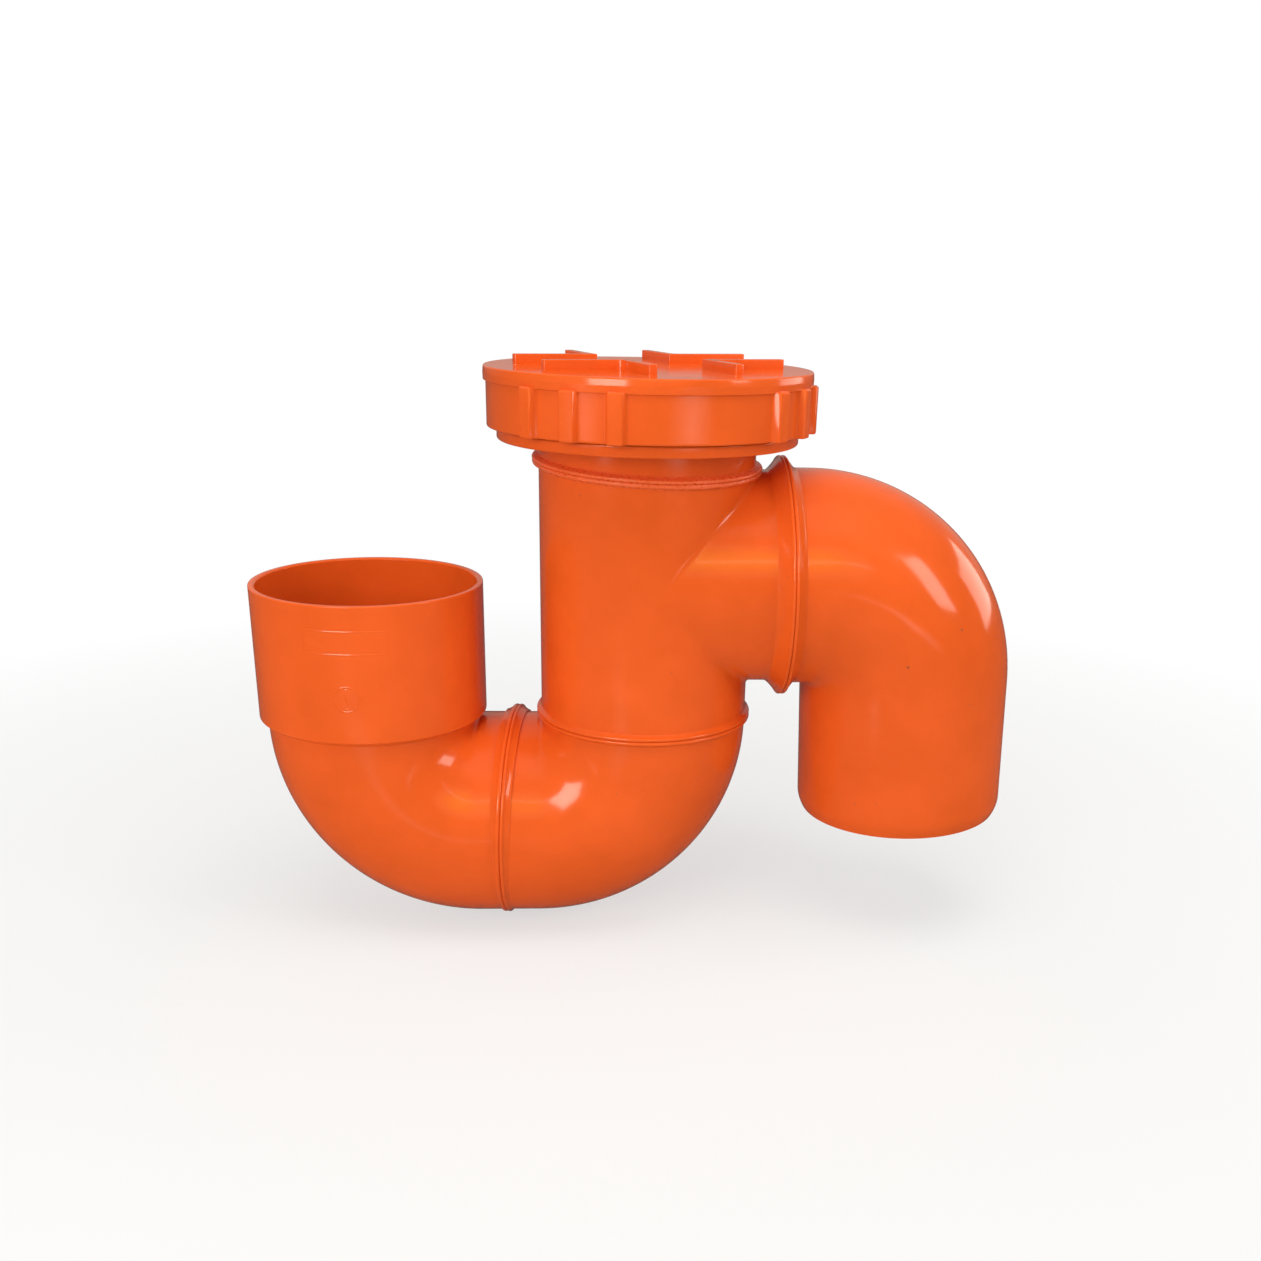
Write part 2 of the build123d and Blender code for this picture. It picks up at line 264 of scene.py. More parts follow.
class Plan:
    """Adds nodes to one shader or geometry tree."""

    def __init__(self, tree):
        self.tree = tree

    def node(self, kind, settings=None, inputs=()):
        """Adds a node: its type, its settings, and the Values or constants of its sockets."""
        made = self.tree.nodes.new(kind)
        for name, setting in (settings or {}).items():
            setattr(made, name, setting)
        for key, given in inputs.items() if isinstance(inputs, dict) else enumerate(inputs):
            if isinstance(given, Value):
                self.tree.links.new(given.socket, made.inputs[key])
            else:
                made.inputs[key].default_value = given
        return made

    def value(self, kind, output, settings=None, inputs=()):
        """Adds a node and returns one of its outputs as a Value."""
        return Value(self, self.node(kind, settings, inputs).outputs[output])

    def parts(self, vector):
        """The three numbers of a vector."""
        split = self.node("ShaderNodeSeparateXYZ", inputs=(vector,))
        return [Value(self, output) for output in split.outputs]

    def distance(self, place, spot):
        """How far a place is from a fixed spot."""
        settings = {"operation": "DISTANCE"}
        return self.value("ShaderNodeVectorMath", "Value", settings, (place, spot))

    def noise(self, place, scale, detail=2.0, roughness=0.5):
        """A noise pattern at a scale per metre."""
        inputs = {"Vector": place, "Scale": scale, "Detail": detail, "Roughness": roughness}
        return self.value("ShaderNodeTexNoise", 0, inputs=inputs)

    def blend(self, factor, low, high):
        """A colour between two others."""
        inputs = {"Factor": factor, 6: low, 7: high}
        return self.value("ShaderNodeMix", 2, {"data_type": "RGBA"}, inputs)

    def bump(self, height, strength, distance):
        """A normal that follows a height pattern."""
        inputs = {"Height": height, "Strength": strength, "Distance": distance}
        return self.value("ShaderNodeBump", 0, inputs=inputs)


SOCKET_KINDS = {
    "number": "NodeSocketFloat",
    "whole": "NodeSocketInt",
    "vector": "NodeSocketVector",
    "rotation": "NodeSocketRotation",
    "material": "NodeSocketMaterial",
}


def start_growth(name, **labels):
    """Starts a geometry tree with its inputs listed by kind. Returns its plan and its inputs."""
    tree = bpy.data.node_groups.new(name, "GeometryNodeTree")
    for kind, names in {**labels, "material": ("Material",)}.items():
        for label in names:
            tree.interface.new_socket(label, in_out="INPUT", socket_type=SOCKET_KINDS[kind])
    tree.interface.new_socket("Geometry", in_out="OUTPUT", socket_type="NodeSocketGeometry")
    plan = Plan(tree)
    entry = plan.node("NodeGroupInput")
    return plan, {socket.name: Value(plan, socket) for socket in entry.outputs if socket.name}


def end_growth(plan, geometry, given):
    """Ends a geometry tree: realised, smooth and with its material."""
    real = plan.value("GeometryNodeRealizeInstances", 0, inputs={"Geometry": geometry})
    smooth = plan.value("GeometryNodeSetShadeSmooth", 0, inputs={"Geometry": real})
    inputs = {"Geometry": smooth, "Material": given["Material"]}
    finished = plan.value("GeometryNodeSetMaterial", 0, inputs=inputs)
    plan.node("NodeGroupOutput", inputs={"Geometry": finished})
    return plan.tree


def start_grid(plan, across, along):
    """A grid with the two vertex counts. Returns it with each vertex's two shares, from 0 to 1."""
    inputs = {"Size X": 1.0, "Size Y": 1.0, "Vertices X": across, "Vertices Y": along}
    grid = plan.value("GeometryNodeMeshGrid", "Mesh", inputs=inputs)
    x, y, _ = plan.parts(plan.value("GeometryNodeInputPosition", 0))
    return grid, x + 0.5, y + 0.5


def bend_grid(plan, grid, x, y, z):
    """Puts each vertex of a grid where three Values say."""
    place = plan.value("ShaderNodeCombineXYZ", 0, inputs=(x, y, z))
    return plan.value("GeometryNodeSetPosition", 0, inputs={"Geometry": grid, "Position": place})


def turn_grid(plan, grid, centre, radius, spin, z):
    """Puts each vertex of a grid at a radius and an angle about an upright axis."""
    x, y, _ = plan.parts(centre)
    return bend_grid(plan, grid, x + radius * spin.cosine(), y + radius * spin.sine(), z)


def pipe_run_tree():
    """A pipe wall that follows a straight lead, a bend and another straight lead."""
    plan, given = start_growth(
        "pipe_run",
        vector=("Start", "Heading", "Turn"),
        number=(
            "Lead In", "Bend Radius", "Bend Angle", "Lead Out", "Radius", "Wall",
            "Nose Length", "Nose Depth",
        ),
        whole=("Rows", "Around"),
    )
    rows, lead, bend = given["Rows"], given["Lead In"], given["Bend Radius"]
    grid, section, round_share = start_grid(plan, rows * 2 + 3, given["Around"] + 1)
    index = (section * (rows * 2 + 2)).whole()
    inside = (index > rows + 0.5) * (index < rows * 2 + 1.5)
    outward = (index < rows + 0.5) * index / rows
    share = inside * (1 - (index - rows - 1) / rows) + (1 - inside) * outward
    arc = bend * given["Bend Angle"]
    whole_run = lead + arc + given["Lead Out"]
    run = share * whole_run
    angle = ((run - lead) / bend).most(0.0).least(given["Bend Angle"])
    beyond = (run - lead - arc).most(0.0)
    ahead = run.least(lead) + bend * angle.sine() + beyond * angle.cosine()
    aside = bend * (1 - angle.cosine()) + beyond * angle.sine()
    nose = ((run - whole_run + given["Nose Length"]) / given["Nose Length"]).share()
    drawn_in = (1 - inside) * given["Nose Depth"] * nose ** 2
    radius = given["Radius"] - inside * given["Wall"] - drawn_in
    spin = round_share * FULL_TURN
    inward = radius * spin.cosine()
    starts, heads, turns = (plan.parts(given[name]) for name in ("Start", "Heading", "Turn"))
    x, z = (
        starts[axis] + ahead * heads[axis] + aside * turns[axis]
        + inward * (turns[axis] * angle.cosine() - heads[axis] * angle.sine())
        for axis in (0, 2)
    )
    return end_growth(plan, bend_grid(plan, grid, x, starts[1] + radius * spin.sine(), z), given)


def weld_ring_tree():
    """Half of a weld ring: a rounded bead at the seam that flares back to the pipe."""
    plan, given = start_growth(
        "weld_ring",
        vector=("Centre",),
        rotation=("Facing",),
        number=(
            "Radius", "Proud", "Bead", "Flare", "Groove", "Sink", "Lump", "Lump Scale", "Seed",
        ),
        whole=("Around",),
    )
    bead_steps, flare_steps = 10, 10
    dome_power, flare_power = 0.6, 1.35
    lump_stretch, foot_sink = 60, 0.00004
    last = bead_steps + flare_steps + 2
    grid, section, round_share = start_grid(plan, last + 2, given["Around"] + 1)
    index = (section * (last + 1)).whole()
    over_bead = ((index - 1) / bead_steps).share()
    over_flare = ((index - 1 - bead_steps) / flare_steps).share()
    hidden = (index < 0.5).most(index > last - 0.5)
    along = (given["Bead"] * over_bead + given["Flare"] * over_flare) * (index < last + 0.5)
    dome = (1 - (over_bead * 2 - 1) ** 2).most(0.0) ** dome_power
    shape = (given["Proud"] - given["Groove"]) * (1 - over_flare) ** flare_power
    spin = round_share * FULL_TURN
    way = plan.value(
        "ShaderNodeCombineXYZ", 0, inputs=(spin.cosine(), spin.sine(), along * lump_stretch)
    )
    lumps = plan.value(
        "ShaderNodeTexNoise", 0, {"noise_dimensions": "4D"},
        {"Vector": way, "W": given["Seed"], "Scale": given["Lump Scale"], "Detail": 3.0},
    )
    bump = (lumps - 0.5) * given["Lump"] * (1 - over_flare)
    height = (1 - hidden) * (shape + given["Groove"] * dome + bump) - hidden * given["Sink"]
    radius = given["Radius"] + height - over_flare * (1 - hidden) * foot_sink
    flat = bend_grid(plan, grid, radius * spin.cosine(), radius * spin.sine(), along)
    placed = plan.value(
        "GeometryNodeTransform", 0,
        inputs={"Geometry": flat, "Translation": given["Centre"], "Rotation": given["Facing"]},
    )
    return end_growth(plan, placed, given)


def screw_thread_tree():
    """One start of screw thread, outside a rim or inside a bore, that fades in and out."""
    plan, given = start_growth(
        "screw_thread",
        vector=("Centre",),
        number=(
            "Root Radius", "Depth", "Sink", "Pitch", "Turns", "Base", "Crest", "Start Height",
        ),
        whole=("Rows",),
    )
    fade_angle = 0.9
    grid, section, run_share = start_grid(plan, 5, given["Rows"])
    index = (section * 4).whole()
    crest = (index > 0.5) * (index < 2.5)
    side = (index > 1.5) * (index < 3.5) * 2 - 1
    half = (crest * given["Crest"] + (1 - crest) * given["Base"]) / 2
    swept = run_share * given["Turns"] * FULL_TURN
    left = given["Turns"] * FULL_TURN - swept
    fade = (swept / fade_angle).least(left / fade_angle).share()
    radius = given["Root Radius"] - given["Sink"]
    radius = radius + crest * (given["Depth"] * fade + given["Sink"] * fade)
    z = given["Start Height"] + given["Pitch"] * swept / FULL_TURN + side * half
    return end_growth(plan, turn_grid(plan, grid, given["Centre"], radius, swept, z), given)


def grip_skirt_tree():
    """The cap's skirt, whose outside swells into groups of grip ribs with soft feet.

    The points of its section: 0 and 9 the inner foot, 1 to 4 the foot's round, 5 and 6 the ends
    of the long outside, 7 the outer top and 8 the inner top.
    """
    plan, given = start_growth(
        "grip_skirt",
        vector=("Centre",),
        number=(
            "Radius", "Wall", "Bottom", "Top", "Edge Round", "Groups", "Pitch",
            "Ribs in Group", "Spacing", "Start Angle", "Rib Width", "Rib Crest", "Rib Proud",
        ),
        whole=("Around",),
    )
    top_support, top_draw = 0.0008, 0.3
    grid, section, round_share = start_grid(plan, 10, given["Around"] + 1)
    index = (section * 9).whole()
    swept = round_share * FULL_TURN - given["Pitch"] / 2
    group = (swept / given["Pitch"]).whole().least(given["Groups"] - 1).most(0.0)
    from_middle = swept - group * given["Pitch"]
    reach = (given["Ribs in Group"] - 1) / 2
    nearest = (from_middle / given["Spacing"]).whole().least(reach).most(-reach)
    offset = (from_middle - nearest * given["Spacing"]).size() * given["Radius"]
    slope = (given["Rib Width"] - given["Rib Crest"]) / 2
    climb = ((given["Rib Width"] / 2 - offset) / slope).share()
    rib = given["Rib Proud"] * climb * climb * (3 - climb * 2) * (1 - (index > 6.5) * top_draw)
    outside = (index > 0.5) * (index < 7.5)
    edge = given["Edge Round"]
    corner = ((index - 1) / 3).share() * (math.pi / 2)
    at_bottom = (index < 5.5).most(index > 8.5)
    cut = outside * at_bottom * edge * (1 - corner.sine())
    lift = outside * at_bottom * (edge * (1 - corner.cosine()) + (index > 4.5) * FLAT_EDGE)
    radius = given["Radius"] + outside * (rib - cut) - (1 - outside) * given["Wall"]
    z = at_bottom * (given["Bottom"] + lift) + (1 - at_bottom) * given["Top"]
    z = z - (1 - at_bottom) * (index < 6.5) * top_support
    spin = swept + given["Start Angle"]
    return end_growth(plan, turn_grid(plan, grid, given["Centre"], radius, spin, z), given)


def run_modifier(mesh, kind, settings, inputs):
    """Runs one modifier on a mesh and returns the outcome as a plain mesh."""
    carrier = bpy.data.objects.new(mesh.name, mesh)
    bpy.context.scene.collection.objects.link(carrier)
    modifier = carrier.modifiers.new(mesh.name, kind)
    for name, setting in settings.items():
        setattr(modifier, name, setting)
    for identifier, given in inputs.items():
        modifier[identifier] = given
    bpy.context.view_layer.update()
    graph = bpy.context.evaluated_depsgraph_get()
    outcome = bpy.data.meshes.new_from_object(carrier.evaluated_get(graph))
    carrier.modifiers.remove(modifier)
    bpy.data.objects.remove(carrier)
    return outcome


def grow(tree, sizes):
    """Runs a geometry tree on the sizes given by input name, and returns a plain mesh."""
    inputs = {
        item.identifier: sizes[item.name]
        for item in tree.interface.items_tree if item.in_out == "INPUT"
    }
    return run_modifier(bpy.data.meshes.new(tree.name), "NODES", {"node_group": tree}, inputs)


# Meshes built directly with bmesh


def rounded(corners, steps=5):
    """Points along an outline of (radius, height, round) corners, with each corner rounded."""
    points = []
    for place, (radius, height, fillet) in enumerate(corners):
        corner = Vector((radius, height))
        if not fillet:
            points.append(corner)
            continue
        before = Vector(corners[place - 1][:2]) - corner
        after = Vector(corners[(place + 1) % len(corners)][:2]) - corner
        half = before.angle(after) / 2
        reach = min(fillet / math.tan(half), before.length * 0.49, after.length * 0.49)
        inset = reach * math.tan(half)
        middle = corner + (before.normalized() + after.normalized()).normalized() * (
            inset / math.sin(half)
        )
        first = corner + before.normalized() * reach - middle
        last = corner + after.normalized() * reach - middle
        sweep = math.atan2(first.cross(last), first.dot(last))
        support = reach + FLAT_EDGE
        if before.length > 4 * support:
            points.append(corner + before.normalized() * support)
        for step in range(steps + 1):
            points.append(middle + Matrix.Rotation(sweep * step / steps, 2) @ first)
        if after.length > 4 * support:
            points.append(corner + after.normalized() * support)
    return points


def bridge(shell, lines, closed=False):
    """Joins each line of vertices to the next with faces, and the last to the first if closed."""
    for here, there in zip(lines, lines[1:] + lines[:1] * closed):
        for row in range(len(here) - 1):
            shell.faces.new((here[row], there[row], there[row + 1], here[row + 1]))


def turned(centre_x, points, around, closed=True):
    """A mesh turned about the upright axis at centre_x from points of (radius, height)."""
    shell = bmesh.new()
    rings = []
    for step in range(around):
        spin = FULL_TURN * step / around
        ring = [
            shell.verts.new((centre_x + p.x * math.cos(spin), p.x * math.sin(spin), p.y))
            for p in points
        ]
        rings.append(ring + ring[:1] * closed)
    bridge(shell, rings, closed=True)
    return finished_mesh("turned", shell)


def finished_mesh(name, shell):
    """Merges a shell's doubles, points its faces outwards and returns it as a mesh."""
    bmesh.ops.remove_doubles(shell, verts=shell.verts, dist=CLOSE)
    bmesh.ops.dissolve_degenerate(shell, edges=shell.edges, dist=CLOSE)
    bmesh.ops.recalc_face_normals(shell, faces=shell.faces)
    mesh = bpy.data.meshes.new(name)
    shell.to_mesh(mesh)
    shell.free()
    return mesh


def tee_mesh(sizes):
    """The upright body with its side branch, joined by a soft saddle, as one closed wall."""
    body_radius, branch_radius = sizes.moulding_radius, sizes.branch_radius
    top, middle, soft = sizes.body_height, sizes.branch_height, sizes.saddle_round
    reach = TEE_HIGH.x - BODY_X
    half = sizes.around // 2
    rows, soft_rows, least_room = 28, 8, 0.0002
    shell = bmesh.new()

    def on_body(theta, z):
        return Vector((BODY_X + body_radius * math.cos(theta), body_radius * math.sin(theta), z))

    def body_line(theta, heights):
        return [shell.verts.new(on_body(theta, z)) for z in heights]

    def column(step):
        """The ends of the saddle's round, its peak between them, and its foot on the body."""
        phi = math.pi * step / half
        y, rise = branch_radius * math.cos(phi), branch_radius * math.sin(phi)
        z = middle + rise
        theta = math.asin(y / body_radius)
        out = Vector((y, rise / max(math.cos(theta), 0.05))).normalized()
        room = max(min(soft, (top - z) * 0.7), least_room) if math.sin(phi) > 0 else soft
        foot_angle, foot_z = theta + out.x * room / body_radius, z + out.y * room
        peak = on_body(theta, z)
        root = Vector((peak.x + soft, y, z))
        return on_body(foot_angle, foot_z), peak, root, foot_angle, foot_z

    columns = [column(step) for step in range(2 * half)]
    branch = []
    for foot, peak, root, _, _ in columns:
        shares = [row / soft_rows for row in range(soft_rows + 1)]
        line = [(1 - t) ** 2 * foot + 2 * t * (1 - t) * peak + t ** 2 * root for t in shares]
        for row in range(1, rows + 1):
            line.append(Vector((root.x + (BODY_X + reach - root.x) * row / rows, root.y, root.z)))
        branch.append([shell.verts.new(p) for p in line])
    bridge(shell, branch, closed=True)

    skirts = []
    for step, (_, _, _, theta, z) in enumerate(columns):
        edge = top if 0 < step < half else 0.0
        if step in (0, half):
            edge = z
        skirts.append(body_line(theta, [z + (edge - z) * row / rows for row in range(rows + 1)]))
    bridge(shell, skirts[1:half])
    bridge(shell, skirts[half + 1:])
    for side, upper, lower in ((0, 1, 2 * half - 1), (half, half - 1, half + 1)):
        theta, z = columns[side][3:]
        start = body_line(theta, [z])
        rising = body_line(theta, [z + (top - z) * row / rows for row in range(1, rows + 1)])
        falling = body_line(theta, [z * (1 - row / rows) for row in range(1, rows + 1)])
        bridge(shell, [start + rising, skirts[upper]])
        bridge(shell, [start + falling, skirts[lower]])

    left, low_side = columns[0][3:]
    right = columns[half][3]
    heights = [low_side * (1 - row / rows) for row in range(rows, 0, -1)]
    heights += [low_side + (top - low_side) * row / rows for row in range(rows + 1)]
    bridge(
        shell,
        [
            body_line(left + (FULL_TURN + right - left) * step / half, heights)
            for step in range(half + 1)
        ],
    )
    settings = {"thickness": sizes.wall, "offset": -1.0}
    return run_modifier(finished_mesh("tee", shell), "SOLIDIFY", settings, {})


def lug_mesh(sizes, quarter):
    """One corner lug of the cap: two upright walls that meet in a right angle."""
    reaches = (sizes.lug_long, sizes.lug_short)
    along, across = reaches if quarter % 2 == 0 else reaches[::-1]
    slot, back = sizes.lug_slot, sizes.lug_slot + sizes.lug_thickness
    outline = rounded(
        [
            (slot, slot, FINE_ROUND), (along, slot, STEP_ROUND), (along, back, STEP_ROUND),
            (back, back, 0.003), (back, across, STEP_ROUND), (slot, across, STEP_ROUND),
        ]
    )
    shell = bmesh.new()
    face = shell.faces.new([shell.verts.new((p.x, p.y, 0)) for p in outline])
    raised = bmesh.ops.extrude_face_region(shell, geom=[face])
    top = [item for item in raised["geom"] if isinstance(item, bmesh.types.BMVert)]
    height = sizes.lug_height + LUG_SINK
    bmesh.ops.translate(shell, verts=top, vec=(0, 0, height))
    rim = [e for e in shell.edges if all(v.co.z > height / 2 for v in e.verts)]
    bmesh.ops.bevel(shell, geom=rim, offset=0.00035, segments=3, affect="EDGES", profile=0.5)
    spin = Matrix.Rotation(sizes.lug_turn + quarter * math.pi / 2, 4, "Z")
    base = SEAL_HIGH.z + sizes.plate_thickness
    shift = Matrix.Translation((BODY_X, 0, base - LUG_SINK))
    bmesh.ops.transform(shell, matrix=shift @ spin, verts=shell.verts)
    return finished_mesh("lug", shell)


def add_piece(name, body, node, parts):
    """Joins parts of (mesh, material) into one piece that rides a body and stands for a node."""
    piece_mesh = bpy.data.meshes.new(name)
    joined = bmesh.new()
    finishes = []
    for mesh, finish in parts:
        if finish not in finishes:
            finishes.append(finish)
        shell = bmesh.new()
        shell.from_mesh(mesh)
        bmesh.ops.remove_doubles(shell, verts=shell.verts, dist=CLOSE)
        gaps = [edge for edge in shell.edges if edge.is_boundary]
        if gaps:
            bmesh.ops.holes_fill(shell, edges=gaps, sides=8)
        bmesh.ops.recalc_face_normals(shell, faces=shell.faces)
        for face in shell.faces:
            face.material_index = finishes.index(finish)
            face.smooth = True
        shell.to_mesh(mesh)
        shell.free()
        joined.from_mesh(mesh)
        bpy.data.meshes.remove(mesh)
    joined.to_mesh(piece_mesh)
    joined.free()
    for finish in finishes:
        piece_mesh.materials.append(finish)
    piece_mesh.set_sharp_from_angle(angle=SHARP_ANGLE)
    piece = bpy.data.objects.new(name, piece_mesh)
    bpy.context.scene.collection.objects.link(piece)
    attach(piece, body)
    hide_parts(node)
    return piece


# Materials

# Specks of dirt that the finish shows at fixed places: the place and the reach of each
BLEMISHES = (
    ((0.2970, -0.0490, 0.0570), 0.0010),
    ((0.2700, -0.0541, 0.0392), 0.0009),
    ((0.2715, -0.0540, 0.0400), 0.0006),
    ((0.2070, -0.0570, 0.0840), 0.0008),
)


def start_material(name):
    """A new material with an empty tree, its plan and its object coordinates."""
    material = bpy.data.materials.new(name)
    material.use_nodes = True
    material.node_tree.nodes.clear()
    plan = Plan(material.node_tree)
    return material, plan, plan.value("ShaderNodeTexCoord", "Object")


def end_material(plan, shader):
    """Connects a shader to a material's output."""
    plan.node("ShaderNodeOutputMaterial", inputs={"Surface": shader})


def principled(plan, tone, roughness, **more):
    """A Principled shader with a colour, a roughness and any other named inputs."""
    inputs = {"Base Color": tone, "Roughness": roughness}
    inputs.update({name.replace("_", " "): given for name, given in more.items()})
    return plan.value("ShaderNodeBsdfPrincipled", 0, inputs=inputs)


def tinted(tone, share=1.0, more=0.0):
    """A colour for a socket, as a share of another with a little more of each part."""
    return tuple(min(part * share + more, 1.0) for part in tone) + (1.0,)


def line_at(distance, half_width):
    """A soft line, 1 where a distance is zero and 0 beyond the half width."""
    return (1 - distance.size() / half_width).share()


def socket_marks(plan, place):
    """A blank raised frame and a plain moulded dial on the front of the socket."""
    skin_radius, outer_radius = 0.057, 0.0585
    frame_x, frame_z, frame_half_width, frame_half_height = -0.0030, 0.0500, 0.0205, 0.0056
    dial_x, dial_z, dial_radius, ticks_radius, pointer_reach = -0.0036, 0.0222, 0.0062, 0.0050, 0.0030
    thin, thick = 0.00045, 0.0006
    x, y, z = plan.parts(place)
    front = (y < 0.0) * ((x * x + y * y) > skin_radius ** 2)
    round_way = x.angle(-y) * outer_radius
    beside = (round_way - frame_x).size() - frame_half_width
    above = (z - frame_z).size() - frame_half_height
    frame_line = line_at(beside.most(above), thin)
    across, up = round_way - dial_x, z - dial_z
    out = (across * across + up * up) ** 0.5
    ring = line_at(out - dial_radius, thin)
    ticks = ((up.angle(across) * 12).cosine() > 0.75) * line_at(out - ticks_radius, thick)
    pointer = line_at(across * 0.95 + up * 0.3, thick) * (out < pointer_reach)
    return front * (frame_line * 2.0 + ring * 3.0 + ticks * 2.6 + pointer * 3.0)


def moulded_pvc(name, orange):
    """Glossy pipe plastic: faint flow marks, a soft skin ripple, scuffs and specks of dust."""
    material, plan, place = start_material(name)
    cloud = plan.noise(place, 18.0, 3.0)
    flow = plan.noise(place, 60.0, 4.0, 0.6)
    mottle = ((cloud * 0.7 + flow * 0.3) - 0.28).share() * 1.9
    tone = plan.blend(mottle, tinted(orange, 0.86), tinted(orange, 1.08, 0.004))
    speck = plan.value(
        "ShaderNodeTexVoronoi", "Distance", inputs={"Vector": place, "Scale": 130.0}
    )
    grit = (speck < 0.055) * (plan.noise(place, 31.0, 0.0) > 0.66)
    for spot, reach in BLEMISHES:
        grit = grit.most(plan.distance(place, spot) < reach)
    spotted = plan.blend(grit * 0.55, tone, (0.12, 0.035, 0.012, 1.0))
    rub = plan.noise(place, 140.0, 5.0, 0.65)
    roughness = 0.12 + (cloud - 0.4).share() * 0.10 + (rub - 0.56).share() * 0.45 + grit * 0.3
    ripple = plan.noise(place, 75.0, 1.0)
    skin = plan.noise(place, 900.0, 2.0)
    height = ripple * 0.75 + skin * 0.02 + rub * 0.012
    if name == "socket_pvc":
        height = height + socket_marks(plan, place)
    normal = plan.bump(height, 0.25, 0.0006)
    gloss = {"IOR": 1.52, "Specular_IOR_Level": 0.4}
    end_material(plan, principled(plan, spotted, roughness, Normal=normal, **gloss))
    return material


def welded_pvc(name, orange):
    """Plastic squeezed out of a hot weld: the same colour with a rougher, crumbled skin."""
    material, plan, place = start_material(name)
    crumble = plan.noise(place, 560.0, 3.0, 0.6)
    blotch = plan.noise(place, 55.0, 3.0)
    mottle = (blotch * 0.5 + crumble * 0.5 - 0.25).share() * 1.8
    tone = plan.blend(mottle, tinted(orange, 0.88), tinted(orange, 1.1, 0.05))
    normal = plan.bump(crumble * 0.7 + blotch * 0.3, 0.75, 0.0005)
    roughness = 0.26 + (crumble - 0.4).share() * 0.4
    gloss = {"IOR": 1.52, "Specular_IOR_Level": 0.35}
    end_material(plan, principled(plan, tone, roughness, Normal=normal, **gloss))
    return material


def seal_rubber(name, black):
    """Matt black rubber with a fine grain and a little dust."""
    material, plan, place = start_material(name)
    grain = plan.noise(place, 1500.0, 3.0)
    dust = (plan.noise(place, 90.0, 4.0) - 0.45).share() * 1.6
    tone = plan.blend(dust, tinted(black), tinted(black, more=0.03))
    roughness = 0.55 + (grain - 0.4).share() * 0.4
    normal = plan.bump(grain, 0.3, 0.0001)
    end_material(plan, principled(plan, tone, roughness, Normal=normal))
    return material


# Pale patches that only reflections show: the direction, half width and strength of each on the
# far floor, and of the near one beside the outlet
GLARES = ((math.radians(-136), 0.22, 1.8), (-1.10, 0.27, 2.6))
STREAK = (math.radians(-130), 0.14, 0.8)


def studio_floor(name, pale):
    """A pale floor that the camera sees as white wherever the object's shadow doesn't fall."""
    material, plan, place = start_material(name)
    x, y, _ = plan.parts(place)
    away = ((x - BODY_X) * (x - BODY_X) + y * y) ** 0.5
    far = ((away - 0.25) / 0.5).share()
    tone = plan.blend(plan.noise(place, 3.0, 3.0), tinted(pale), tinted(pale, 0.985))
    matt = principled(plan, tone, 0.9, Specular_IOR_Level=0.0)
    seen = plan.value("ShaderNodeLightPath", "Is Camera Ray")
    mirrored = plan.value("ShaderNodeLightPath", "Is Glossy Ray")
    around = y.angle(x - BODY_X)
    glare = sum(line_at(around - way, half) * strength for way, half, strength in GLARES)
    beside = y.angle(x - OUTLET_HIGH.x + 0.055)
    streak_way, streak_half, streak_strength = STREAK
    streak = line_at(beside - streak_way, streak_half) * (away > 0.3) * (1 - far)
    glow = 0.12 + glare * (away > 2.0) + streak * streak_strength
    white, dim = (
        plan.value("ShaderNodeEmission", 0, inputs={"Color": colour, "Strength": strength})
        for colour, strength in (((1, 1, 1, 1), 1.0), ((1, 0.94, 0.86, 1), glow))
    )
    softened = plan.value("ShaderNodeMixShader", 0, inputs=(mirrored, matt, dim))
    shown = seen * (0.62 + far * 0.38)
    end_material(plan, plan.value("ShaderNodeMixShader", 0, inputs=(shown, softened, white)))
    return material


def finish_named(name):
    """A finish by name, made on its first use."""
    finish = bpy.context.scene.trap_finish
    maker, tone = {
        "moulded_pvc": (moulded_pvc, finish.orange),
        "socket_pvc": (moulded_pvc, finish.orange),
        "welded_pvc": (welded_pvc, finish.orange),
        "seal_rubber": (seal_rubber, finish.rubber),
        "studio_floor": (studio_floor, finish.floor),
    }[name]
    return bpy.data.materials.get(name) or maker(name, tuple(tone))


def grown(name, finish, sizes):
    """A part from the geometry tree of that name, made on its first use, with its finish."""
    maker = {
        "pipe_run": pipe_run_tree,
        "weld_ring": weld_ring_tree,
        "screw_thread": screw_thread_tree,
        "grip_skirt": grip_skirt_tree,
    }[name]
    tree = bpy.data.node_groups.get(name) or maker()
    return grow(tree, {**sizes, "Material": finish}), finish


FACING = {
    "up": (0.0, 0.0, 0.0),
    "down": (math.pi, 0.0, 0.0),
    "out": (0.0, math.pi / 2, 0.0),
    "in": (0.0, -math.pi / 2, 0.0),
}

# Halves of the weld rings, by seam and facing: how far each stands proud, the width of its bead
# and of its flare, the size of its lumps, and their seed
WELD_HALVES = {
    ("trap", "in"): (0.0027, 0.0024, 0.0034, 0.0002, 3.0),
    ("trap", "out"): (0.0027, 0.0020, 0.0030, 0.0002, 5.0),
    ("body", "down"): (0.0024, 0.0021, 0.0013, 0.0001, 7.0),
    ("body", "up"): (0.0024, 0.0021, 0.0013, 0.0001, 8.0),
    ("neck", "down"): (0.0032, 0.0022, 0.0012, 0.0005, 9.0),
    ("neck", "up"): (0.0034, 0.0019, 0.0010, 0.0005, 15.0),
    ("branch", "in"): (0.0072, 0.0019, 0.0062, 0.0002, 11.0),
    ("branch", "out"): (0.0060, 0.0019, 0.0046, 0.0002, 13.0),
}


def trap_seam(pipes):
    """The middle of the seam between the two trap bends."""
    level = -pipes.trap_lead - pipes.trap_bend_radius
    return Vector((pipes.trap_bend_radius + pipes.trap_straight, 0, level))


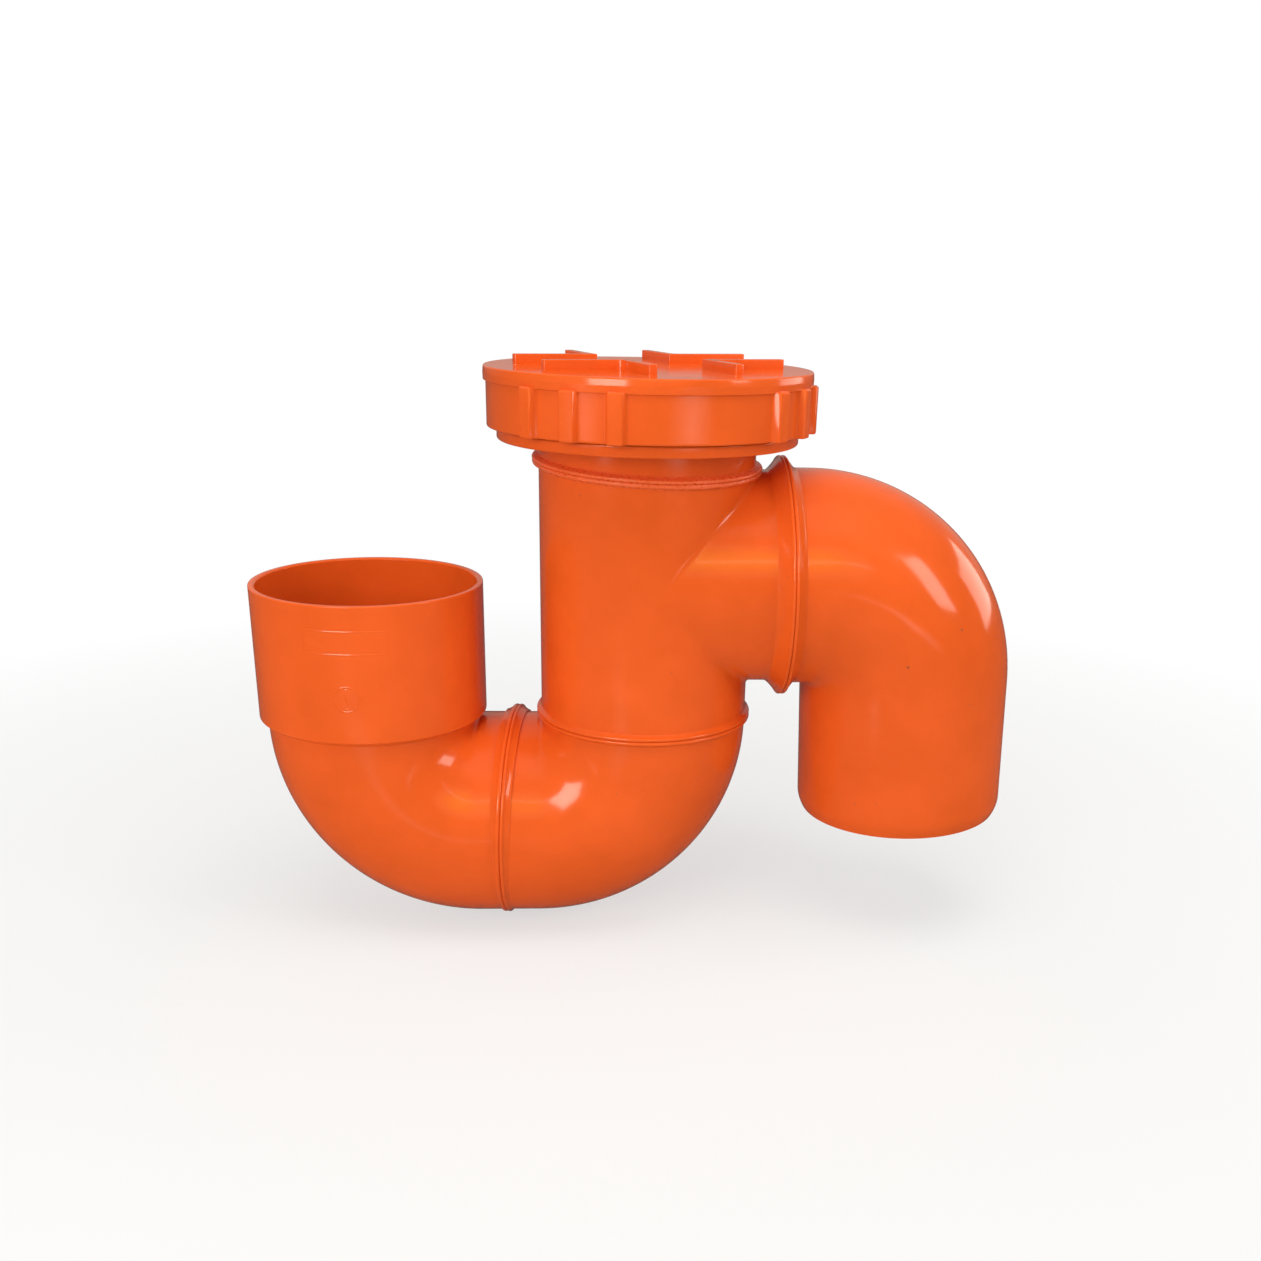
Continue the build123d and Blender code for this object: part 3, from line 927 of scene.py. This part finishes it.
def branch_seam(pipes):
    """The middle of the seam between the branch and the outlet bend."""
    return Vector((TEE_HIGH.x, 0, pipes.branch_height))


def weld_half(seam, facing):
    """Half of a weld ring as a part of a moulding, with its finish."""
    pipes = bpy.context.scene.trap_pipes
    centre, lean = {
        "trap": (
            trap_seam(pipes) + Vector((pipes.seam_shift, 0, pipes.seam_lift)),
            (0.0, pipes.seam_lean, -pipes.seam_swing),
        ),
        "body": (BODY_FOOT, (0.0, 0.0, 0.0)),
        "neck": (
            Vector((BODY_X, 0, pipes.body_height + pipes.neck_rise)),
            (pipes.neck_nod, pipes.neck_lean, 0.0),
        ),
        "branch": (branch_seam(pipes), (0.0, -pipes.branch_lean, 0.0)),
    }[seam]
    radius = pipes.moulding_radius
    if seam == "branch":
        radius = pipes.branch_radius if facing == "in" else pipes.spigot_radius
    proud, bead, flare, lump, seed = WELD_HALVES[seam, facing]
    finish = finish_named("welded_pvc" if seam == "neck" else "moulded_pvc")
    sizes = {
        "Centre": centre, "Facing": tuple(a + b for a, b in zip(FACING[facing], lean)),
        "Radius": radius, "Proud": proud, "Bead": bead, "Flare": flare, "Groove": 0.0009,
        "Sink": pipes.wall / 2, "Lump": lump, "Lump Scale": 9.0, "Seed": seed,
        "Around": 2 * pipes.around,
    }
    return grown("weld_ring", finish, sizes)


def pipe_part(
    start, heading, turning, lead_in, bend_radius, lead_out, radius,
    nose=(0.001, 0.0), angle=math.pi / 2,
):
    """A bent pipe wall as a part of a moulding, with its finish."""
    pipes = bpy.context.scene.trap_pipes
    sizes = {
        "Start": start, "Heading": heading, "Turn": turning, "Lead In": lead_in,
        "Bend Radius": bend_radius, "Bend Angle": angle, "Lead Out": lead_out,
        "Radius": radius, "Wall": pipes.wall, "Nose Length": nose[0], "Nose Depth": nose[1],
        "Rows": 90, "Around": pipes.around,
    }
    return grown("pipe_run", finish_named("moulded_pvc"), sizes)


def thread_part(root_radius, side, start_height, turns):
    """A screw thread as a part, with its finish. side is 1 on a rim and -1 in a bore."""
    thread = bpy.context.scene.trap_thread
    sizes = {
        "Centre": BODY_FOOT, "Root Radius": root_radius, "Depth": side * thread.depth,
        "Sink": side * LAP, "Pitch": thread.pitch, "Turns": turns, "Base": thread.base,
        "Crest": thread.crest, "Start Height": start_height, "Rows": 240,
    }
    return grown("screw_thread", finish_named("moulded_pvc"), sizes)


# Operators


class TRAP_OT_inlet_bend(bpy.types.Operator):
    """Builds the inlet socket with the first quarter of the trap"""

    bl_idname = "trap.inlet_bend"
    bl_label = "Inlet Bend"

    def execute(self, context):
        pipes, socket = context.scene.trap_pipes, context.scene.trap_socket
        outer, mouth = -SOCKET_LOW.x, SOCKET_HIGH.z
        cone_foot = -socket.shoulder_drop - socket.shoulder_cone
        bore = pipes.moulding_radius - pipes.wall
        middle = pipes.moulding_radius - pipes.wall / 2
        outline = [
            (socket.bore_radius + socket.lead_in, mouth, HAIR_ROUND),
            (outer, mouth, socket.rim_round),
            (outer, -socket.shoulder_drop, socket.shoulder_round),
            (socket.foot_radius, cone_foot, HAIR_ROUND),
            (middle, cone_foot, 0),
            (middle, -STOP_LAP, 0),
            (bore, -STOP_LAP, 0),
            (bore, 0.0, HAIR_ROUND),
            (socket.bore_radius, 0.0, HAIR_ROUND),
            (socket.bore_radius, mouth - socket.lead_in, HAIR_ROUND),
        ]
        parts = [
            (turned(0.0, rounded(outline), pipes.around), finish_named("socket_pvc")),
            pipe_part(
                (0.0, 0.0, -STOP_LAP), (0.0, 0.0, -1.0), (1.0, 0.0, 0.0),
                pipes.trap_lead - STOP_LAP, pipes.trap_bend_radius, pipes.trap_straight,
                pipes.moulding_radius,
            ),
            weld_half("trap", "in"),
        ]
        add_piece("inlet_moulding", "trap", "inlet_bend", parts)
        return {"FINISHED"}


class TRAP_OT_trap_bend(bpy.types.Operator):
    """Builds the second quarter of the trap"""

    bl_idname = "trap.trap_bend"
    bl_label = "Trap Bend"

    def execute(self, context):
        pipes = context.scene.trap_pipes
        parts = [
            pipe_part(
                tuple(trap_seam(pipes)), (1.0, 0.0, 0.0), (0.0, 0.0, 1.0), pipes.trap_straight,
                pipes.trap_bend_radius, pipes.trap_lead, pipes.moulding_radius,
            ),
            weld_half("trap", "out"),
            weld_half("body", "down"),
        ]
        add_piece("trap_moulding", "trap", "trap_bend", parts)
        return {"FINISHED"}


class TRAP_OT_body_tee(bpy.types.Operator):
    """Builds the upright body with its side branch"""

    bl_idname = "trap.body_tee"
    bl_label = "Body Tee"

    def execute(self, context):
        parts = [
            (tee_mesh(context.scene.trap_pipes), finish_named("moulded_pvc")),
            weld_half("body", "up"),
            weld_half("neck", "down"),
            weld_half("branch", "in"),
        ]
        add_piece("tee_moulding", "trap", "body_tee", parts)
        return {"FINISHED"}


class TRAP_OT_outlet_bend(bpy.types.Operator):
    """Builds the quarter bend that ends in the outlet spigot"""

    bl_idname = "trap.outlet_bend"
    bl_label = "Outlet Bend"

    def execute(self, context):
        pipes = context.scene.trap_pipes
        parts = [
            pipe_part(
                tuple(branch_seam(pipes)), (1.0, 0.0, 0.0), (0.0, 0.0, -1.0), pipes.outlet_lead,
                pipes.outlet_bend_radius, pipes.spigot_length, pipes.spigot_radius,
                (pipes.nose_length, pipes.nose_depth), pipes.outlet_angle,
            ),
            weld_half("branch", "out"),
        ]
        add_piece("outlet_moulding", "trap", "outlet_bend", parts)
        return {"FINISHED"}


class TRAP_OT_access_collar(bpy.types.Operator):
    """Builds the neck with its flange, its threaded rim and its weld bead"""

    bl_idname = "trap.access_collar"
    bl_label = "Access Collar"

    def execute(self, context):
        pipes, cap = context.scene.trap_pipes, context.scene.trap_cap
        low, rim_top = pipes.body_height, SEAL_LOW.z
        under = low + cap.neck_height
        flange_top = under + cap.flange_thickness
        bore = pipes.moulding_radius - pipes.wall
        rim_bore = cap.rim_radius - cap.rim_wall
        outline = [
            (bore, low, 0),
            (pipes.moulding_radius, low, 0),
            (pipes.moulding_radius, under, cap.neck_round),
            (cap.flange_radius, under, FLANGE_ROUND),
            (cap.flange_radius, flange_top, FLANGE_ROUND),
            (cap.rim_radius, flange_top, FINE_ROUND),
            (cap.rim_radius, rim_top, RIM_ROUND),
            (rim_bore, rim_top, FINE_ROUND),
            (rim_bore, under + pipes.wall, FLANGE_ROUND),
            (bore, under + pipes.wall, STEP_ROUND),
        ]
        parts = [
            (turned(BODY_X, rounded(outline), pipes.around), finish_named("moulded_pvc")),
            thread_part(
                cap.rim_radius, 1, flange_top + THREAD_RISE, context.scene.trap_thread.turns
            ),
            weld_half("neck", "up"),
        ]
        add_piece("collar_moulding", "trap", "access_collar", parts)
        return {"FINISHED"}


class TRAP_OT_cap_seal(bpy.types.Operator):
    """Builds the flat rubber ring between the collar's rim and the cap"""

    bl_idname = "trap.cap_seal"
    bl_label = "Cap Seal"

    def execute(self, context):
        cap = context.scene.trap_cap
        inner = cap.rim_radius - cap.rim_wall - SEAL_OVERHANG
        outer, face = SEAL_HIGH.x - BODY_X, SEAL_HIGH.z - SEAL_CLEARANCE
        outline = [
            (outer, face, RIM_ROUND), (inner, face, RIM_ROUND),
            (inner, SEAL_LOW.z, RIM_ROUND), (outer, SEAL_LOW.z, RIM_ROUND),
        ]
        finish = finish_named("seal_rubber")
        ring = turned(BODY_X, rounded(outline), context.scene.trap_pipes.around)
        add_piece("seal_ring", "seal", "cap_seal", [(ring, finish)])
        return {"FINISHED"}


class TRAP_OT_access_cap(bpy.types.Operator):
    """Builds the screw cap with its band, ribbed skirt, thread, guide lip and corner lugs"""

    bl_idname = "trap.access_cap"
    bl_label = "Access Cap"

    def execute(self, context):
        pipes, cap, thread = (
            context.scene.trap_pipes, context.scene.trap_cap, context.scene.trap_thread
        )
        under = SEAL_HIGH.z
        top = under + cap.plate_thickness
        band_low = top - cap.band_height
        flange_top = pipes.body_height + cap.neck_height + cap.flange_thickness
        skirt_bore = cap.skirt_radius - cap.skirt_wall
        plate_foot = skirt_bore + RIM_ROUND
        finish = finish_named("moulded_pvc")
        plate = [
            (0.0, top, 0),
            (cap.plate_radius - cap.band_swell, top, cap.plate_round),
            (cap.plate_radius + cap.band_swell, (top + band_low) / 2, 0.0005),
            (cap.plate_radius, band_low, HAIR_ROUND),
            (plate_foot, band_low, 0),
            (plate_foot, under, 0),
            (0.0, under, 0),
        ]
        guide_bore, guide_low = cap.guide_radius - cap.guide_wall, under - cap.guide_height
        guide = [
            (cap.guide_radius, under + LAP, 0),
            (cap.guide_radius, guide_low, RIM_ROUND),
            (guide_bore, guide_low, RIM_ROUND),
            (guide_bore, under + LAP, 0),
        ]
        skirt = {
            "Centre": BODY_FOOT, "Radius": cap.skirt_radius, "Wall": cap.skirt_wall,
            "Bottom": flange_top + cap.skirt_gap, "Top": band_low + 0.0008, "Edge Round": 0.0007,
            "Groups": float(cap.rib_groups), "Ribs in Group": float(cap.ribs_in_group),
            "Pitch": cap.rib_pitch, "Spacing": cap.rib_spacing, "Start Angle": cap.rib_start,
            "Rib Width": cap.rib_width, "Rib Crest": cap.rib_crest, "Rib Proud": cap.rib_proud,
            "Around": 1440,
        }
        thread_start = flange_top + THREAD_RISE + thread.pitch / 2
        parts = [
            (turned(BODY_X, rounded(plate, 7), 2 * pipes.around, closed=False), finish),
            (turned(BODY_X, rounded(guide), pipes.around), finish),
            grown("grip_skirt", finish, skirt),
            thread_part(skirt_bore, -1, thread_start, thread.turns - 0.4),
        ]
        parts += [(lug_mesh(cap, quarter), finish) for quarter in range(4)]
        add_piece("cap_moulding", "cap", "access_cap", parts)
        return {"FINISHED"}


# Softboxes: direction round the upright and height in degrees, distance, width, height, share
# of the key's power, and whether reflections show them
LAMPS = (
    ("key", -119, 18, 1.1, 0.46, 0.32, 1.0, True),
    ("right_window", -29, 25, 1.3, 0.30, 0.52, 0.7, True),
    ("back_window", 20, 14, 1.5, 0.75, 0.50, 0.9, True),
    ("strip", -86, 28, 1.2, 1.10, 0.03, 0.06, True),
    ("ceiling", -80, 74, 1.2, 1.00, 0.80, 2.3, False),
    ("left_fill", -150, 10, 1.5, 1.00, 0.80, 0.6, False),
)
LAMP_COLOUR = (1.0, 0.93, 0.82)
FLOOR_GAP = 0.0004

# The warm glow high in front that only reflections show
GLOW_WAY = (0.109, -0.884, 0.454)
GLOW_REACH = 0.34


class TRAP_OT_studio(bpy.types.Operator):
    """Sets up the floor, the soft light, the white surroundings and the camera"""

    bl_idname = "trap.studio"
    bl_label = "Studio"

    def execute(self, context):
        scene = context.scene
        shell = bmesh.new()
        bmesh.ops.create_grid(shell, x_segments=4, y_segments=4, size=4.0)
        floor_height = Vector(CAD_BOX[0]).z - FLOOR_GAP
        bmesh.ops.translate(shell, verts=shell.verts, vec=(BODY_X, 0, floor_height))
        ground = bpy.data.meshes.new("floor")
        shell.to_mesh(ground)
        shell.free()
        ground.materials.append(finish_named("studio_floor"))
        floor = bpy.data.objects.new("floor", ground)
        scene.collection.objects.link(floor)
        for lamp in LAMPS:
            self.add_softbox(scene, *lamp)
        self.light_world(scene)
        self.aim_camera(scene)
        scene.view_settings.view_transform = "Standard"
        return {"FINISHED"}

    def add_softbox(self, scene, name, around, above, away, width, height, share, mirrored):
        """Adds a soft rectangular light that faces the object."""
        target = Vector((BODY_X, 0.0, 0.03))
        around, above = math.radians(around), math.radians(above)
        heading = Vector((math.cos(around), math.sin(around), math.tan(above))).normalized()
        place = target + heading * away
        light = bpy.data.lights.new(name, "AREA")
        light.shape = "RECTANGLE"
        light.size, light.size_y = width, height
        light.energy = scene.trap_finish.key * share
        light.color = LAMP_COLOUR
        lamp = bpy.data.objects.new(name, light)
        facing = (target - place).to_track_quat("-Z", "Y").to_matrix().to_4x4()
        lamp.matrix_world = Matrix.Translation(place) @ facing
        lamp.visible_glossy = mirrored
        scene.collection.objects.link(lamp)

    def light_world(self, scene):
        """White for the camera, dim in front for reflections and brighter above and behind."""
        world = bpy.data.worlds.new("white_room")
        world.use_nodes = True
        world.node_tree.nodes.clear()
        plan = Plan(world.node_tree)
        seen = plan.value("ShaderNodeLightPath", "Is Camera Ray")
        mirrored = plan.value("ShaderNodeLightPath", "Is Glossy Ray")
        way = plan.value("ShaderNodeTexCoord", "Generated")
        _, back, up = plan.parts(way)
        wall = (back * 2 - 0.7).share() * (up * 8 + 0.3).share()
        glow = line_at(plan.distance(way, GLOW_WAY), GLOW_REACH)
        room = 0.10 + wall * 0.35 + (up - 0.35).share() * 0.3 + glow * 3.0
        soft = seen + (1 - seen) * (mirrored * room + (1 - mirrored) * 0.42)
        in_glow = (glow * 2).share() * mirrored
        warm = plan.blend(in_glow, (1.0, 0.94, 0.85, 1.0), (0.9, 0.8, 0.15, 1.0))
        tint = plan.blend(seen, warm, (1.0, 1.0, 1.0, 1.0))
        backdrop = plan.value("ShaderNodeBackground", 0, inputs={"Color": tint, "Strength": soft})
        plan.node("ShaderNodeOutputWorld", inputs={"Surface": backdrop})
        scene.world = world

    def aim_camera(self, scene):
        """The photograph's own camera: its place, its turn and its off-centre framing."""
        place = Vector((0.112027, -0.664493, 0.215719))
        yaw, pitch, roll = 0.073, 0.376, 0.027
        focal, off_x, off_y = 1299.933, 45.138, 159.267
        ahead = Vector(
            (math.sin(yaw) * math.cos(pitch), math.cos(yaw) * math.cos(pitch), -math.sin(pitch))
        )
        right = Vector((math.cos(yaw), -math.sin(yaw), 0))
        upward = right.cross(ahead)
        axis_x = right * math.cos(roll) + upward * math.sin(roll)
        axis_y = upward * math.cos(roll) - right * math.sin(roll)
        lens = bpy.data.cameras.new("photo_camera")
        lens.sensor_width = 36.0
        lens.lens = focal * lens.sensor_width / PHOTO_PIXELS
        lens.shift_x = -off_x / PHOTO_PIXELS
        lens.shift_y = off_y / PHOTO_PIXELS
        camera = bpy.data.objects.new("photo_camera", lens)
        turned_to = Matrix((axis_x, axis_y, -ahead)).transposed()
        camera.matrix_world = Matrix.Translation(place) @ turned_to.to_4x4()
        scene.collection.objects.link(camera)
        scene.camera = camera


OPERATORS = (
    TRAP_OT_inlet_bend, TRAP_OT_trap_bend, TRAP_OT_body_tee, TRAP_OT_outlet_bend,
    TRAP_OT_access_collar, TRAP_OT_cap_seal, TRAP_OT_access_cap, TRAP_OT_studio,
)
GROUPS = {
    "trap_pipes": TRAP_PG_pipes, "trap_socket": TRAP_PG_socket, "trap_cap": TRAP_PG_cap,
    "trap_thread": TRAP_PG_thread, "trap_finish": TRAP_PG_finish,
}


class TRAP_PT_sidebar(bpy.types.Panel):
    """Lists the trap's pieces and sizes"""

    bl_idname = "TRAP_PT_sidebar"
    bl_label = "Drain Trap"
    bl_space_type = "VIEW_3D"
    bl_region_type = "UI"
    bl_category = "Drain Trap"

    def draw(self, context):
        for operator in OPERATORS:
            self.layout.operator(operator.bl_idname)
        for name in GROUPS:
            group = getattr(context.scene, name)
            box = self.layout.box()
            for field in group.bl_rna.properties.keys():
                if field not in ("rna_type", "name"):
                    box.prop(group, field)


def register():
    for group in GROUPS.values():
        bpy.utils.register_class(group)
    for name, group in GROUPS.items():
        setattr(bpy.types.Scene, name, bpy.props.PointerProperty(type=group))
    for operator in OPERATORS:
        bpy.utils.register_class(operator)
    bpy.utils.register_class(TRAP_PT_sidebar)


def unregister():
    bpy.utils.unregister_class(TRAP_PT_sidebar)
    for operator in reversed(OPERATORS):
        bpy.utils.unregister_class(operator)
    for name in GROUPS:
        delattr(bpy.types.Scene, name)
    for group in reversed(list(GROUPS.values())):
        bpy.utils.unregister_class(group)


def main():
    register()
    bpy.ops.trap.inlet_bend()
    bpy.ops.trap.trap_bend()
    bpy.ops.trap.body_tee()
    bpy.ops.trap.outlet_bend()
    bpy.ops.trap.access_collar()
    bpy.ops.trap.cap_seal()
    bpy.ops.trap.access_cap()
    bpy.ops.trap.studio()


if __name__ == "__main__":
    main()
